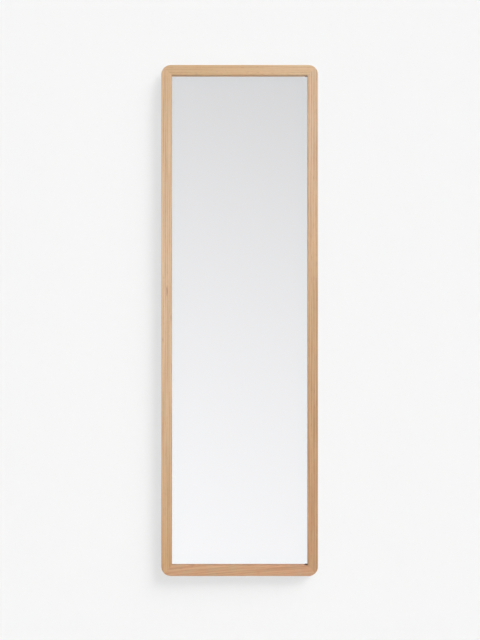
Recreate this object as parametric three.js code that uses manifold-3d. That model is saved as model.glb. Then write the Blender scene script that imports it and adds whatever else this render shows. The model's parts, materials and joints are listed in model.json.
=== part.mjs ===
// Full-length wall mirror in a mitred light-oak frame with rounded outer corners.
//
// The frame is four mitred, rebated timbers joined by hidden tongues. The glass lies in the
// rebate on two setting blocks, is taped to a fibreboard back, and eight turn buttons hold the
// back in. Two strap hangers with swinging rings hang it on two wall hooks, and four rubber
// bumpers keep it off the wall.
//
// Millimetres, +Z up, +X to the viewer's right. The glass looks along -Y and the wall is the
// plane y = 0. The origin is midway between the two hanging points. Inside the assembly group
// depths run from the frame's front face (0) towards the wall, and heights from its bottom edge.
import * as THREE from "three";
import { mergeVertices } from "three/addons/utils/BufferGeometryUtils.js";
import Module from "manifold-3d";

// ---- Driving dimensions ----
const WIDTH = 460;
const HEIGHT = 1500;
const DEPTH = 22; // the timber, front face to back face
const FACE = 30; // width of the frame's front face
const CORNER_RADIUS = 28; // outer corners
const LIP = 8; // timber in front of the glass
const LAP = 10; // how far the lip covers the rebate
const EDGE_GAP = 2; // round the glass and the back, inside the rebate
const GLUE_LINE = 0.1; // in each mitre
const FIT = 0.3; // air left round a piece that sits in a pocket or a hole

const GLASS = 4;
const FILM = 0.2;
const TAPE = 3.6;
const BOARD = 6;
const TAPE_WIDTH = 25;
const TAPE_END = 60; // from the frame's end to the tape's end
const TAPE_PLACES = [-150, -50, 50, 150];
const SETTING_BLOCK_LENGTH = 40;
const SETTING_BLOCK_PLACE = 104; // each side of the middle

const TONGUE = { across: 18, thick: 4, along: 10 }; // across the mitre, through the timber, along the mitre
const TONGUE_PLACE = 21.5; // from the square corner, along the mitre, to the tongue's middle

const FIXING_INSET = 12; // from the frame's outer edge to every fixing's centre line
const STANDOFF = 6; // bumper height, and so the gap between frame and wall
const BUMPER_FOOT = 8; // radius on the frame
const BUMPER_TIP = 7; // radius on the wall
const BUMPER_END = 60; // from the frame's end to a bumper's centre

const BUTTON = { thick: 1.2, pivotRadius: 5, tipRadius: 4, reach: 24, gap: 0.15 };
const BUTTON_HEIGHTS = { low: 130, middle: HEIGHT / 2, high: HEIGHT - 130 };
const SCREW = { headRadius: 3.2, headHeight: 2, shankRadius: 1.5, length: 14, tip: 3.5 };

const HANG_HEIGHT = 1300; // from the bottom edge to where the wall hooks bear
const WIRE_RADIUS = 1.25;
const RING = { halfWidth: 9.5, leg: 5, corner: 2.5, split: 0.2 };
const RING_LEAN = THREE.MathUtils.degToRad(5); // raised ring, resting against the frame's back
const STRAP = { width: 12, thick: 1.2, upperHole: 9, lowerHole: 27 };

const CORNER_STEPS = 8; // three.js draws each arc in twice as many steps
const SMALL_ARC_STEPS = 6;
const ROUND_SIDES = 16;
const WIRE_ARC_STEPS = 4;
const WIRE_STEPS = 44;

// ---- Sizes that follow from them ----
const HALF = WIDTH / 2;
const LAND = FACE - LAP; // solid timber beside the rebate
const GLASS_BACK = LIP + GLASS;
const FILM_BACK = GLASS_BACK + FILM;
const BOARD_FRONT = FILM_BACK + TAPE;
const BOARD_BACK = BOARD_FRONT + BOARD;
const PANE_HALF = HALF - LAND - EDGE_GAP;
const PANE_LOW = LAND + EDGE_GAP;
const PANE_HIGH = HEIGHT - LAND - EDGE_GAP;
const FIXING_X = HALF - FIXING_INSET;
const EYE_INSIDE = WIRE_RADIUS + FIT;
const EYE_OUTSIDE = EYE_INSIDE + STRAP.thick;
const RING_REACH = RING.leg + RING.halfWidth; // pivot to the wire at the far side of the ring
const PIVOT_HEIGHT = HANG_HEIGHT - (RING_REACH - WIRE_RADIUS);
const PIVOT_DEPTH = DEPTH + EYE_OUTSIDE;

// ---- Materials ----
const oak = new THREE.MeshStandardMaterial({ color: 0xd2b08c, roughness: 0.55, metalness: 0 });
const beech = new THREE.MeshStandardMaterial({ color: 0xc9a27c, roughness: 0.6, metalness: 0 });
const silveredGlass = new THREE.MeshStandardMaterial({ color: 0xe9edee, roughness: 0.03, metalness: 1 });
const clearFilm = new THREE.MeshStandardMaterial({ color: 0xdfe6ea, roughness: 0.35, metalness: 0 });
const foam = new THREE.MeshStandardMaterial({ color: 0xf1f1ee, roughness: 0.9, metalness: 0 });
const fibreboard = new THREE.MeshStandardMaterial({ color: 0xa98b68, roughness: 0.8, metalness: 0 });
const zincSteel = new THREE.MeshStandardMaterial({ color: 0xc4c6c8, roughness: 0.35, metalness: 1 });
const rubber = new THREE.MeshStandardMaterial({ color: 0x2a2a2b, roughness: 0.75, metalness: 0 });

// ---- Solids ----
const wasm = await Module();
wasm.setup();

// A closed geometry as a solid that can be cut and joined.
function solidOf(geometry) {
  const bare = geometry.clone();
  bare.deleteAttribute("normal");
  bare.deleteAttribute("uv");
  const merged = mergeVertices(bare, 1e-4);
  const mesh = new wasm.Mesh({
    numProp: 3,
    vertProperties: merged.attributes.position.array,
    triVerts: new Uint32Array(merged.index.array),
  });
  return new wasm.Manifold(mesh);
}

function geometryOf(solid) {
  const { vertProperties, triVerts } = solid.getMesh();
  const indexed = new THREE.BufferGeometry();
  indexed.setAttribute("position", new THREE.BufferAttribute(vertProperties, 3));
  indexed.setIndex(new THREE.BufferAttribute(triVerts, 1));
  const geometry = indexed.toNonIndexed();
  geometry.computeVertexNormals();
  return geometry;
}

// An outline in the X-Z plane, extruded from one depth to another.
function slab(outline, front, back, curveSegments = SMALL_ARC_STEPS) {
  const depth = back - front;
  const geometry = new THREE.ExtrudeGeometry(outline, { depth, bevelEnabled: false, curveSegments });
  geometry.rotateX(Math.PI / 2); // the outline's y becomes z, and the extrusion runs towards -y
  geometry.translate(0, back, 0);
  return geometry;
}

function rectangle(left, right, low, high) {
  return new THREE.Shape([
    new THREE.Vector2(left, low),
    new THREE.Vector2(right, low),
    new THREE.Vector2(right, high),
    new THREE.Vector2(left, high),
  ]);
}

function block(left, right, front, back, low, high) {
  return slab(rectangle(left, right, low, high), front, back);
}

// A round hole's cutter along Y, through everything between two depths.
function drill(radius, x, z, front, back) {
  const cutter = new THREE.CylinderGeometry(radius, radius, back - front, ROUND_SIDES);
  cutter.translate(x, (front + back) / 2, z);
  return solidOf(cutter);
}

// ---- Frame timbers ----
function roundedOutline() {
  const r = CORNER_RADIUS;
  const outline = new THREE.Shape();
  outline.absarc(HALF - r, r, r, -Math.PI / 2, 0);
  outline.absarc(HALF - r, HEIGHT - r, r, 0, Math.PI / 2);
  outline.absarc(-HALF + r, HEIGHT - r, r, Math.PI / 2, Math.PI);
  outline.absarc(-HALF + r, r, r, Math.PI, 1.5 * Math.PI);
  outline.closePath();
  return outline;
}

// The four timbers as one, before they are cut apart at the mitres.
function wholeFrame() {
  const outline = roundedOutline();
  outline.holes.push(rectangle(FACE - HALF, HALF - FACE, FACE, HEIGHT - FACE));
  const rebate = block(LAND - HALF, HALF - LAND, LIP, DEPTH + 1, LAND, HEIGHT - LAND);
  return solidOf(slab(outline, 0, DEPTH, CORNER_STEPS)).subtract(solidOf(rebate));
}

// What one timber keeps of the whole frame: everything nearer to its own edge than to the next.
function mitreWedge(side) {
  const inside = 2 * FACE;
  const outside = 5;
  const gap = (GLUE_LINE / 2) * Math.SQRT2;
  const upright = side === "left" || side === "right";
  const [stileGap, railGap] = upright ? [gap, 0] : [0, gap];
  const corner = (sx, sz, inset) =>
    new THREE.Vector2(
      sx * (HALF - inset - railGap),
      sz < 0 ? inset + stileGap : HEIGHT - inset - stileGap,
    );
  const pairs = { left: [-1, -1, -1, 1], right: [1, 1, 1, -1], top: [-1, 1, 1, 1], bottom: [1, -1, -1, -1] };
  const [ax, az, bx, bz] = pairs[side];
  const outline = new THREE.Shape([
    corner(ax, az, -outside),
    corner(ax, az, inside),
    corner(bx, bz, inside),
    corner(bx, bz, -outside),
  ]);
  return solidOf(slab(outline, -1, DEPTH + 1));
}

// ---- Hidden tongues across the mitres ----
const CORNERS = [
  { name: "top_left", sx: -1, sz: 1 },
  { name: "top_right", sx: 1, sz: 1 },
  { name: "bottom_left", sx: -1, sz: -1 },
  { name: "bottom_right", sx: 1, sz: -1 },
];

function tonguePose({ sx, sz }) {
  const inset = TONGUE_PLACE / Math.SQRT2;
  return {
    x: sx * (HALF - inset),
    y: DEPTH / 2,
    z: sz < 0 ? inset : HEIGHT - inset,
    turn: (sx * sz * Math.PI) / 4,
  };
}

function tongueMesh(corner) {
  const box = new THREE.BoxGeometry(TONGUE.across, TONGUE.thick, TONGUE.along);
  const mesh = new THREE.Mesh(box, beech);
  const { x, y, z, turn } = tonguePose(corner);
  mesh.position.set(x, y, z);
  mesh.rotation.y = turn;
  mesh.name = `corner_tongue_${corner.name}`;
  return mesh;
}

function tonguePocket(corner) {
  const { across, thick, along } = TONGUE;
  const box = new THREE.BoxGeometry(across + 2 * FIT, thick + 2 * FIT, along + 2 * FIT);
  const { x, y, z, turn } = tonguePose(corner);
  box.rotateY(turn);
  box.translate(x, y, z);
  return solidOf(box);
}

// ---- Where the hardware goes ----
// Each turn button points from its screw towards the middle of the back: turn is about +Y.
const BUTTONS = [];
for (const [level, z] of Object.entries(BUTTON_HEIGHTS)) {
  BUTTONS.push({ name: `left_${level}`, x: -FIXING_X, z, turn: 0 });
  BUTTONS.push({ name: `right_${level}`, x: FIXING_X, z, turn: Math.PI });
}
BUTTONS.push({ name: "bottom", x: 0, z: FIXING_INSET, turn: -Math.PI / 2 });
BUTTONS.push({ name: "top", x: 0, z: HEIGHT - FIXING_INSET, turn: Math.PI / 2 });

const HANGERS = [
  { name: "left", x: -FIXING_X },
  { name: "right", x: FIXING_X },
];

const HANGER_SCREWS = HANGERS.flatMap(({ name, x }) => [
  { name: `${name}_upper`, x, z: PIVOT_HEIGHT - STRAP.upperHole },
  { name: `${name}_lower`, x, z: PIVOT_HEIGHT - STRAP.lowerHole },
]);

function screwHoles() {
  const places = [...BUTTONS, ...HANGER_SCREWS];
  const radius = SCREW.shankRadius + FIT;
  const bottom = DEPTH - SCREW.length;
  return places.map(({ x, z }) => drill(radius, x, z, bottom, DEPTH + 1));
}

function timberMeshes() {
  let frame = wholeFrame();
  for (const cutter of [...CORNERS.map(tonguePocket), ...screwHoles()]) frame = frame.subtract(cutter);
  const names = { left: "left_stile", right: "right_stile", top: "top_rail", bottom: "bottom_rail" };
  return Object.entries(names).map(([side, name]) => {
    const mesh = new THREE.Mesh(geometryOf(frame.intersect(mitreWedge(side))), oak);
    mesh.name = name;
    return mesh;
  });
}

// ---- Glass, film, tape, back and setting blocks ----
function paneMesh(name, front, back, material) {
  const mesh = new THREE.Mesh(block(-PANE_HALF, PANE_HALF, front, back, PANE_LOW, PANE_HIGH), material);
  mesh.name = name;
  return mesh;
}

function tapeMesh(place, number) {
  const left = place - TAPE_WIDTH / 2;
  const strip = block(left, left + TAPE_WIDTH, FILM_BACK, BOARD_FRONT, TAPE_END, HEIGHT - TAPE_END);
  const mesh = new THREE.Mesh(strip, foam);
  mesh.name = `foam_tape_${number}`;
  return mesh;
}

function settingBlockMesh(name, side) {
  const left = side * SETTING_BLOCK_PLACE - SETTING_BLOCK_LENGTH / 2;
  const pad = block(left, left + SETTING_BLOCK_LENGTH, LIP, BOARD_BACK, LAND, PANE_LOW);
  const mesh = new THREE.Mesh(pad, rubber);
  mesh.name = `setting_block_${name}`;
  return mesh;
}

// ---- Screws and bumpers: turned shapes, axis along Y, seat at y = 0 ----
function screwGeometry() {
  const { headRadius, headHeight, shankRadius, length, tip } = SCREW;
  const below = length - BUTTON.thick;
  return new THREE.LatheGeometry(
    [
      new THREE.Vector2(0, -below),
      new THREE.Vector2(shankRadius, tip - below),
      new THREE.Vector2(shankRadius, 0),
      new THREE.Vector2(headRadius, 0),
      new THREE.Vector2(headRadius, 0.45 * headHeight),
      new THREE.Vector2(0.75 * headRadius, 0.85 * headHeight),
      new THREE.Vector2(0.4 * headRadius, headHeight),
      new THREE.Vector2(0, headHeight),
    ],
    ROUND_SIDES,
  );
}

function screwMesh(name, x, seat, z) {
  const mesh = new THREE.Mesh(screwGeometry(), zincSteel);
  mesh.position.set(x, seat, z);
  mesh.name = name;
  return mesh;
}

function bumperMesh({ name, sx, sz }) {
  const profile = [
    new THREE.Vector2(0, 0),
    new THREE.Vector2(BUMPER_FOOT, 0),
    new THREE.Vector2(BUMPER_TIP, STANDOFF),
    new THREE.Vector2(0, STANDOFF),
  ];
  const mesh = new THREE.Mesh(new THREE.LatheGeometry(profile, ROUND_SIDES), rubber);
  mesh.position.set(sx * FIXING_X, DEPTH, sz < 0 ? BUMPER_END : HEIGHT - BUMPER_END);
  mesh.name = `wall_bumper_${name}`;
  return mesh;
}

// ---- Turn buttons: two round ends joined by their outer tangents ----
function buttonGeometry() {
  const { thick, pivotRadius, tipRadius, reach } = BUTTON;
  const tangent = Math.acos((pivotRadius - tipRadius) / reach);
  const outline = new THREE.Shape();
  outline.absarc(0, 0, pivotRadius, tangent, 2 * Math.PI - tangent);
  outline.absarc(reach, 0, tipRadius, -tangent, tangent);
  outline.closePath();
  const hole = new THREE.Path();
  hole.absarc(0, 0, SCREW.shankRadius + FIT, 0, 2 * Math.PI, true);
  outline.holes.push(hole);
  return slab(outline, 0, thick);
}

function buttonMesh({ name, x, z, turn }) {
  const mesh = new THREE.Mesh(buttonGeometry(), zincSteel);
  mesh.position.set(x, DEPTH + BUTTON.gap, z);
  mesh.rotation.y = turn;
  mesh.name = `turn_button_${name}`;
  return mesh;
}

// ---- Strap hangers: a plate whose upper end is rolled into an eye round the ring's bar ----
// The section runs along Z (drawn as x) and Y (drawn as y), with the eye's axis above x = 0.
function strapSection() {
  const start = -Math.PI / 2;
  const end = THREE.MathUtils.degToRad(200);
  const plateEnd = -STRAP.lowerHole - STRAP.width / 2;
  const section = new THREE.Shape();
  section.moveTo(plateEnd, 0);
  section.absarc(0, EYE_OUTSIDE, EYE_OUTSIDE, start, end);
  section.absarc(0, EYE_OUTSIDE, EYE_INSIDE, end, start, true);
  section.lineTo(plateEnd, STRAP.thick);
  section.closePath();
  return section;
}

function strapMesh({ name, x }) {
  const half = STRAP.width / 2;
  const strip = new THREE.ExtrudeGeometry(strapSection(), {
    depth: STRAP.width,
    bevelEnabled: false,
    curveSegments: SMALL_ARC_STEPS,
  });
  strip.rotateY(-Math.PI / 2); // the section's x becomes z, and the extrusion runs towards -x
  strip.translate(half, 0, 0);

  const roundEnd = new THREE.Shape();
  roundEnd.absarc(0, -STRAP.lowerHole, half, Math.PI, 2 * Math.PI);
  roundEnd.lineTo(half, 2 * EYE_OUTSIDE);
  roundEnd.lineTo(-half, 2 * EYE_OUTSIDE);
  roundEnd.closePath();

  let strap = solidOf(strip).intersect(solidOf(slab(roundEnd, -1, 3 * EYE_OUTSIDE)));
  for (const drop of [STRAP.upperHole, STRAP.lowerHole]) {
    strap = strap.subtract(drill(SCREW.shankRadius + FIT, 0, -drop, -1, 2 * STRAP.thick));
  }
  const mesh = new THREE.Mesh(geometryOf(strap), zincSteel);
  mesh.position.set(x, DEPTH, PIVOT_HEIGHT);
  mesh.name = `hanger_strap_${name}`;
  return mesh;
}

// ---- Hanger rings: round wire bent to a D, its ends meeting inside the eye ----
function ringGeometry() {
  const { halfWidth, leg, corner, split } = RING;
  const line = new THREE.Path();
  line.moveTo(split, 0);
  line.lineTo(halfWidth - corner, 0);
  line.absarc(halfWidth - corner, corner, corner, -Math.PI / 2, 0);
  line.absarc(0, leg, halfWidth, 0, Math.PI);
  line.absarc(corner - halfWidth, corner, corner, Math.PI, 1.5 * Math.PI);
  line.lineTo(-split, 0);
  const points = line.getSpacedPoints(WIRE_STEPS).map((p) => new THREE.Vector3(p.x, 0, p.y));
  const section = new THREE.Shape();
  section.absarc(0, 0, WIRE_RADIUS, 0, 2 * Math.PI);
  return new THREE.ExtrudeGeometry(section, {
    steps: WIRE_STEPS,
    curveSegments: WIRE_ARC_STEPS,
    extrudePath: new THREE.CatmullRomCurve3(points),
  });
}

function ringMesh({ name, x }) {
  const mesh = new THREE.Mesh(ringGeometry(), zincSteel);
  mesh.position.set(x, PIVOT_DEPTH, PIVOT_HEIGHT);
  mesh.rotation.x = RING_LEAN;
  mesh.name = `hanger_ring_${name}`;
  return mesh;
}

// ---- Assembly ----
const assembly = new THREE.Group();
assembly.position.set(0, -(DEPTH + STANDOFF), -HANG_HEIGHT);
assembly.add(...timberMeshes());
assembly.add(...CORNERS.map(tongueMesh));
assembly.add(paneMesh("mirror_glass", LIP, GLASS_BACK, silveredGlass));
assembly.add(paneMesh("safety_film", GLASS_BACK, FILM_BACK, clearFilm));
TAPE_PLACES.forEach((place, i) => assembly.add(tapeMesh(place, i + 1)));
assembly.add(paneMesh("backing_board", BOARD_FRONT, BOARD_BACK, fibreboard));
assembly.add(settingBlockMesh("left", -1), settingBlockMesh("right", 1));
for (const button of BUTTONS) {
  const seat = DEPTH + BUTTON.thick + 2 * BUTTON.gap;
  assembly.add(buttonMesh(button));
  assembly.add(screwMesh(`button_screw_${button.name}`, button.x, seat, button.z));
}
for (const hanger of HANGERS) {
  assembly.add(strapMesh(hanger), ringMesh(hanger));
}
for (const { name, x, z } of HANGER_SCREWS) {
  assembly.add(screwMesh(`hanger_screw_${name}`, x, DEPTH + STRAP.thick, z));
}
assembly.add(...CORNERS.map(bumperMesh));

const mirror = new THREE.Group();
mirror.add(assembly);

export default mirror;
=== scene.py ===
# %% [markdown]
# # A full-length wall mirror in oak
# A tall pane of silvered glass sits in a slim oak frame with rounded outer corners. The frame is
# four timbers joined at mitres, and behind it are a fibreboard back under turn buttons, two strap
# hangers with swinging rings, and rubber bumpers that keep it off the wall.
#
# The frame's box and the places and boxes of its pieces come from the imported frame, so it is loaded
# before anything is made.

# %% Load the frame
import json
import math

import bpy
import numpy as np
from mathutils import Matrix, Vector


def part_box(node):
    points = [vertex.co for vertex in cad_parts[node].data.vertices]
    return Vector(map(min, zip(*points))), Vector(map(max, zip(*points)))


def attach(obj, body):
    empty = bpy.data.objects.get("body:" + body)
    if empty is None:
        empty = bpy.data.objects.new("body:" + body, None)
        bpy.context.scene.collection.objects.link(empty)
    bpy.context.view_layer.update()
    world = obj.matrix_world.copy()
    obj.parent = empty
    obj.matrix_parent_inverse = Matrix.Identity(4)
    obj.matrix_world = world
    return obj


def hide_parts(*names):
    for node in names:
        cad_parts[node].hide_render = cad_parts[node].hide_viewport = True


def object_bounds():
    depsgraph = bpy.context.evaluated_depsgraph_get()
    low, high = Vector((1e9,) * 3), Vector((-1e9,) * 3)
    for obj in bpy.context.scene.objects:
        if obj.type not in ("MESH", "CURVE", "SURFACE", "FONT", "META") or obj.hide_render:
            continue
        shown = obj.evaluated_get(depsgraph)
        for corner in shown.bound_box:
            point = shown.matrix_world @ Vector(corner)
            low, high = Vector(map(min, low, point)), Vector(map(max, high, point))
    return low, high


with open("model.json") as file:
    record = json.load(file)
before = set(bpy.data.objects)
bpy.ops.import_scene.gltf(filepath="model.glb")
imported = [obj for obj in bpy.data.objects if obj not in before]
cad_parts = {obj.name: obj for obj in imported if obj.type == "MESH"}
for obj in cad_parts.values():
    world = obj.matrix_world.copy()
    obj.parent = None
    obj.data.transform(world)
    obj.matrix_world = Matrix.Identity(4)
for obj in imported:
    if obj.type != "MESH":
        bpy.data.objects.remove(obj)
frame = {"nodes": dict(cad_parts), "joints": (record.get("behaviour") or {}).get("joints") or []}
cad_low, cad_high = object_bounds()
print("frame box in mm:", [round(1000 * v, 1) for v in (*cad_low, *cad_high)])

# %% [markdown]
# ## Sizes
# The timbers' outer faces are the frame's own box. The depth of the lip in front of the glass and
# the width of the solid timber beside the rebate are read from the pieces that sit in the rebate.

# %% Name the sizes
MM = 0.001
LEFT, RIGHT = cad_low.x, cad_high.x
LOW, HIGH = cad_low.z, cad_high.z
FRONT, WALL = cad_low.y, cad_high.y
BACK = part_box("left_stile")[1].y
MIDDLE = (LOW + HIGH) / 2

FACE = 30 * MM
CORNER_RADIUS = 28 * MM
EDGE_GAP = 2 * MM
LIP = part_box("mirror_glass")[0].y - FRONT
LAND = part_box("mirror_glass")[0].x - LEFT - EDGE_GAP
HALF_GLUE_LINE = 0.05 * MM
QUARTER = math.pi / 2
print(f"lip {LIP / MM:.1f} mm, land {LAND / MM:.1f} mm, timber {(BACK - FRONT) / MM:.1f} mm deep")

# %% [markdown]
# ## Camera
# The mirror is seen straight on, from a little over two and a half metres, with a normal lens. The
# camera stands slightly above the mirror's middle and doesn't tilt, because a tilted camera makes
# upright lines lean. Its lens is shifted down instead, which brings the mirror back to the middle.
# The 36 mm of the sensor lie along the long side of the view.

# %% Place the camera
VIEW_DISTANCE = 2.6072
VIEW_RISE = 80 * MM
AIM_RIGHT, AIM_UP = 1.0 * MM, 1.5 * MM
LENS_MM, SENSOR_MM = 50, 36

camera_data = bpy.data.cameras.new("camera")
camera_data.lens = LENS_MM
camera_data.sensor_width = SENSOR_MM
camera_data.shift_y = -VIEW_RISE / VIEW_DISTANCE * LENS_MM / SENSOR_MM
camera = bpy.data.objects.new("camera", camera_data)
camera.location = (AIM_RIGHT, FRONT - VIEW_DISTANCE, MIDDLE + AIM_UP + VIEW_RISE)
camera.rotation_euler = (QUARTER, 0, 0)
bpy.context.scene.collection.objects.link(camera)
bpy.context.scene.camera = camera
bpy.context.scene.view_settings.view_transform = "Standard"
print("camera at", [round(value, 3) for value in camera.location], "looking along Y")

# %% [markdown]
# ## Node helpers
# Materials are short to write if each node takes its values as it is made. A value is a number or a
# colour for the socket, or another node's output that is linked to it.

# %% Small helpers for node trees
def add_node(tree, kind, values=None, **settings):
    """A node of that kind. Values are numbers for its input sockets or outputs to link to them."""
    node = tree.nodes.new(kind)
    for name, value in settings.items():
        setattr(node, name, value)
    for key, value in (values or {}).items():
        if isinstance(value, bpy.types.NodeSocket):
            tree.links.new(value, node.inputs[key])
        else:
            node.inputs[key].default_value = value
    return node


def math_node(tree, operation, *values, clamp=False):
    """One step of arithmetic on numbers or outputs."""
    inputs = dict(enumerate(values))
    return add_node(tree, "ShaderNodeMath", inputs, operation=operation, use_clamp=clamp).outputs[0]


def times(tree, first, second):
    """First times second."""
    return math_node(tree, "MULTIPLY", first, second)


def plus(tree, first, second, clamp=False):
    """First plus second."""
    return math_node(tree, "ADD", first, second, clamp=clamp)


def minus(tree, first, second):
    """First less second."""
    return math_node(tree, "SUBTRACT", first, second)


def remap(tree, value, low, high, to_low=0.0, to_high=1.0, smooth=False):
    """Value moved from the range low..high to the range to_low..to_high, and held at its ends."""
    values = {"Value": value, "From Min": low, "From Max": high, "To Min": to_low, "To Max": to_high}
    kind = "SMOOTHSTEP" if smooth else "LINEAR"
    return add_node(tree, "ShaderNodeMapRange", values, interpolation_type=kind).outputs["Result"]


def mix_colour(tree, factor, first, second, blend="MIX"):
    """First mixed towards second by the factor."""
    values = {0: factor, 6: first, 7: second}
    return add_node(tree, "ShaderNodeMix", values, data_type="RGBA", blend_type=blend).outputs[2]


def stretched(tree, vector, scale, offset=(0, 0, 0), turn=(0, 0, 0)):
    """The vector stretched, turned and moved, so that a round pattern becomes a long one."""
    values = {"Vector": vector, "Location": offset, "Rotation": turn, "Scale": scale}
    return add_node(tree, "ShaderNodeMapping", values).outputs["Vector"]


def noise(tree, vector, scale, detail=2.0, roughness=0.5):
    """A soft random value from 0 to 1 that changes about scale times in a metre."""
    values = {"Vector": vector, "Scale": scale, "Detail": detail, "Roughness": roughness}
    return add_node(tree, "ShaderNodeTexNoise", values).outputs["Fac"]


def long_noise(tree, vector, squeeze, *values, **named):
    """Noise drawn out along Z: the smaller the squeeze, the longer its flecks."""
    return noise(tree, stretched(tree, vector, (1, 1, squeeze)), *values, **named)


def new_group(name, inputs, outputs):
    """An empty shader node group with named inputs, each with its start value, and named outputs."""
    group = bpy.data.node_groups.new(name, "ShaderNodeTree")
    for label, (kind, start) in inputs.items():
        socket = group.interface.new_socket(label, in_out="INPUT", socket_type=kind)
        if start is not None:
            socket.default_value = start
    for label, kind in outputs.items():
        group.interface.new_socket(label, in_out="OUTPUT", socket_type=kind)
    return group, group.nodes.new("NodeGroupInput").outputs, group.nodes.new("NodeGroupOutput").inputs


def new_material(name):
    """A new material, its tree, and the Object coordinates, which are all that the tree holds."""
    material = bpy.data.materials.new(name)
    material.use_nodes = True
    tree = material.node_tree
    tree.nodes.clear()
    place = tree.nodes.new("ShaderNodeTexCoord").outputs["Object"]
    return material, tree, place


def finish_material(material, colour, roughness, bump=None, strength=0, depth=0, extra=None):
    """The Principled surface that ends a material, with a Bump node where a height is given."""
    tree = material.node_tree
    values = {"Base Color": colour, "Roughness": roughness, **(extra or {})}
    if bump is not None:
        heights = {"Height": bump, "Strength": strength, "Distance": depth}
        values["Normal"] = add_node(tree, "ShaderNodeBump", heights).outputs["Normal"]
    surface = add_node(tree, "ShaderNodeBsdfPrincipled", values)
    add_node(tree, "ShaderNodeOutputMaterial", {"Surface": surface.outputs[0]})
    return material


def finish_mixed(tree, share, first, second, kind="ShaderNodeOutputMaterial"):
    """The end of a tree that goes from the first surface to the second by a share."""
    surface = add_node(tree, "ShaderNodeMixShader", {0: share, 1: first.outputs[0], 2: second.outputs[0]})
    add_node(tree, kind, {"Surface": surface.outputs[0]})


print("helpers for nodes, noises, groups and materials")


# %% [markdown]
# ## The room
# The wall is one large plane just behind the bumpers. Only a camera in front of it sees it, so the
# back of the mirror can be looked at and lit from behind: Backfacing and Light Path choose between
# a white surface and none. The floor lies below, and glows for the camera so that it stays pale
# without lighting the wall.

# %% Wall and floor
ROOM_HALF = 8.0
WALL_WHITE, FLOOR_WHITE = 0.80, 0.75
FLOOR_GLOW, GLOW_SHARE = 0.84, 0.85
FLOOR_DROP = 0.35
WALL_AIR = 0.4 * MM


def stage_plane(name, corners, material):
    """One large quad that isn't part of the object."""
    mesh = bpy.data.meshes.new(name)
    mesh.from_pydata(corners, [], [(0, 1, 2, 3)])
    mesh.materials.append(material)
    plane = bpy.data.objects.new(name, mesh)
    bpy.context.scene.collection.objects.link(plane)
    return plane


def wall_material():
    """White for a camera in front of it and nothing for other rays, except that it stops the rear
    lamps for bounced light, so that they don't reach the wall by way of the frame's sides."""
    material, tree, _ = new_material("wall_paint")
    white = add_node(tree, "ShaderNodeBsdfDiffuse", {"Color": (WALL_WHITE, WALL_WHITE, WALL_WHITE, 1)})
    clear = add_node(tree, "ShaderNodeBsdfTransparent")
    path = tree.nodes.new("ShaderNodeLightPath").outputs
    behind = tree.nodes.new("ShaderNodeNewGeometry").outputs["Backfacing"]
    bounced = math_node(tree, "GREATER_THAN", path["Diffuse Depth"], 0.5)
    stopped = times(tree, path["Is Shadow Ray"], bounced)
    shown = plus(tree, path["Is Camera Ray"], stopped, clamp=True)
    shown = times(tree, shown, minus(tree, 1.0, behind))
    finish_mixed(tree, shown, clear, white)
    return material


def floor_material():
    """White paint under a glow that only the camera sees."""
    material, tree, _ = new_material("floor_paint")
    white = add_node(tree, "ShaderNodeBsdfDiffuse", {"Color": (FLOOR_WHITE, FLOOR_WHITE, FLOOR_WHITE, 1)})
    glow = add_node(tree, "ShaderNodeEmission", {"Color": (1, 1, 1, 1), "Strength": FLOOR_GLOW})
    seen = tree.nodes.new("ShaderNodeLightPath").outputs["Is Camera Ray"]
    finish_mixed(tree, times(tree, seen, GLOW_SHARE), white, glow)
    return material


wall_y = WALL + WALL_AIR
wall_top, floor_z = LOW + ROOM_HALF, LOW - FLOOR_DROP
wall_corners = [(-ROOM_HALF, wall_y, floor_z), (ROOM_HALF, wall_y, floor_z),
                (ROOM_HALF, wall_y, wall_top), (-ROOM_HALF, wall_y, wall_top)]
floor_corners = [(x * ROOM_HALF, y * ROOM_HALF, floor_z) for x, y in ((-1, -1), (1, -1), (1, 1), (-1, 1))]
stage_plane("wall", wall_corners, wall_material())
room_floor = stage_plane("floor", floor_corners, floor_material())
room_floor.visible_diffuse = room_floor.visible_glossy = room_floor.visible_transmission = False
print(f"floor {FLOOR_DROP} m below the mirror")

# %% [markdown]
# ## Light
# A broad key light stands up and to the right, so the frame's soft shadow falls down and to the left
# on the wall. Three broader lamps stand for the pale room, its floor and its ceiling, and a narrow
# one shines along the wall and catches the edges that face up and to the right. These four cast no
# shadow. The mirror shows what is in front of it, so the world behind the camera is a smooth grey
# that brightens downwards. Two more lamps light the back.

# %% Lamps and world
KEY_SOFTNESS = math.radians(32)
ROOM_SOFTNESS = math.radians(176)
BOUNCE_SOFTNESS = math.radians(60)
EDGE_SOFTNESS = math.radians(10)
WHITE, WARM_WHITE, COOL_WHITE = (1.0, 1.0, 1.0), (1.045, 1.008, 0.945), (0.95, 0.99, 1.06)


def add_sun(name, towards, strength, softness, tint=WHITE, glossy=True, shadow=True):
    """A distant lamp that shines along a direction. A lamp with no shadow is only ever sampled as a
    lamp, because a ray that finds it by chance can be blocked."""
    data = bpy.data.lights.new(name, "SUN")
    data.energy = strength
    data.angle = softness
    data.color = tint
    lamp = bpy.data.objects.new(name, data)
    x, y, z = np.array(towards) / np.linalg.norm(towards)
    lamp.rotation_euler = (math.acos(-z), 0, math.atan2(y, x) - QUARTER)
    data.use_shadow = shadow
    data.cycles.use_multiple_importance_sampling = shadow
    lamp.visible_transmission = False
    lamp.visible_glossy = glossy
    bpy.context.scene.collection.objects.link(lamp)


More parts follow.
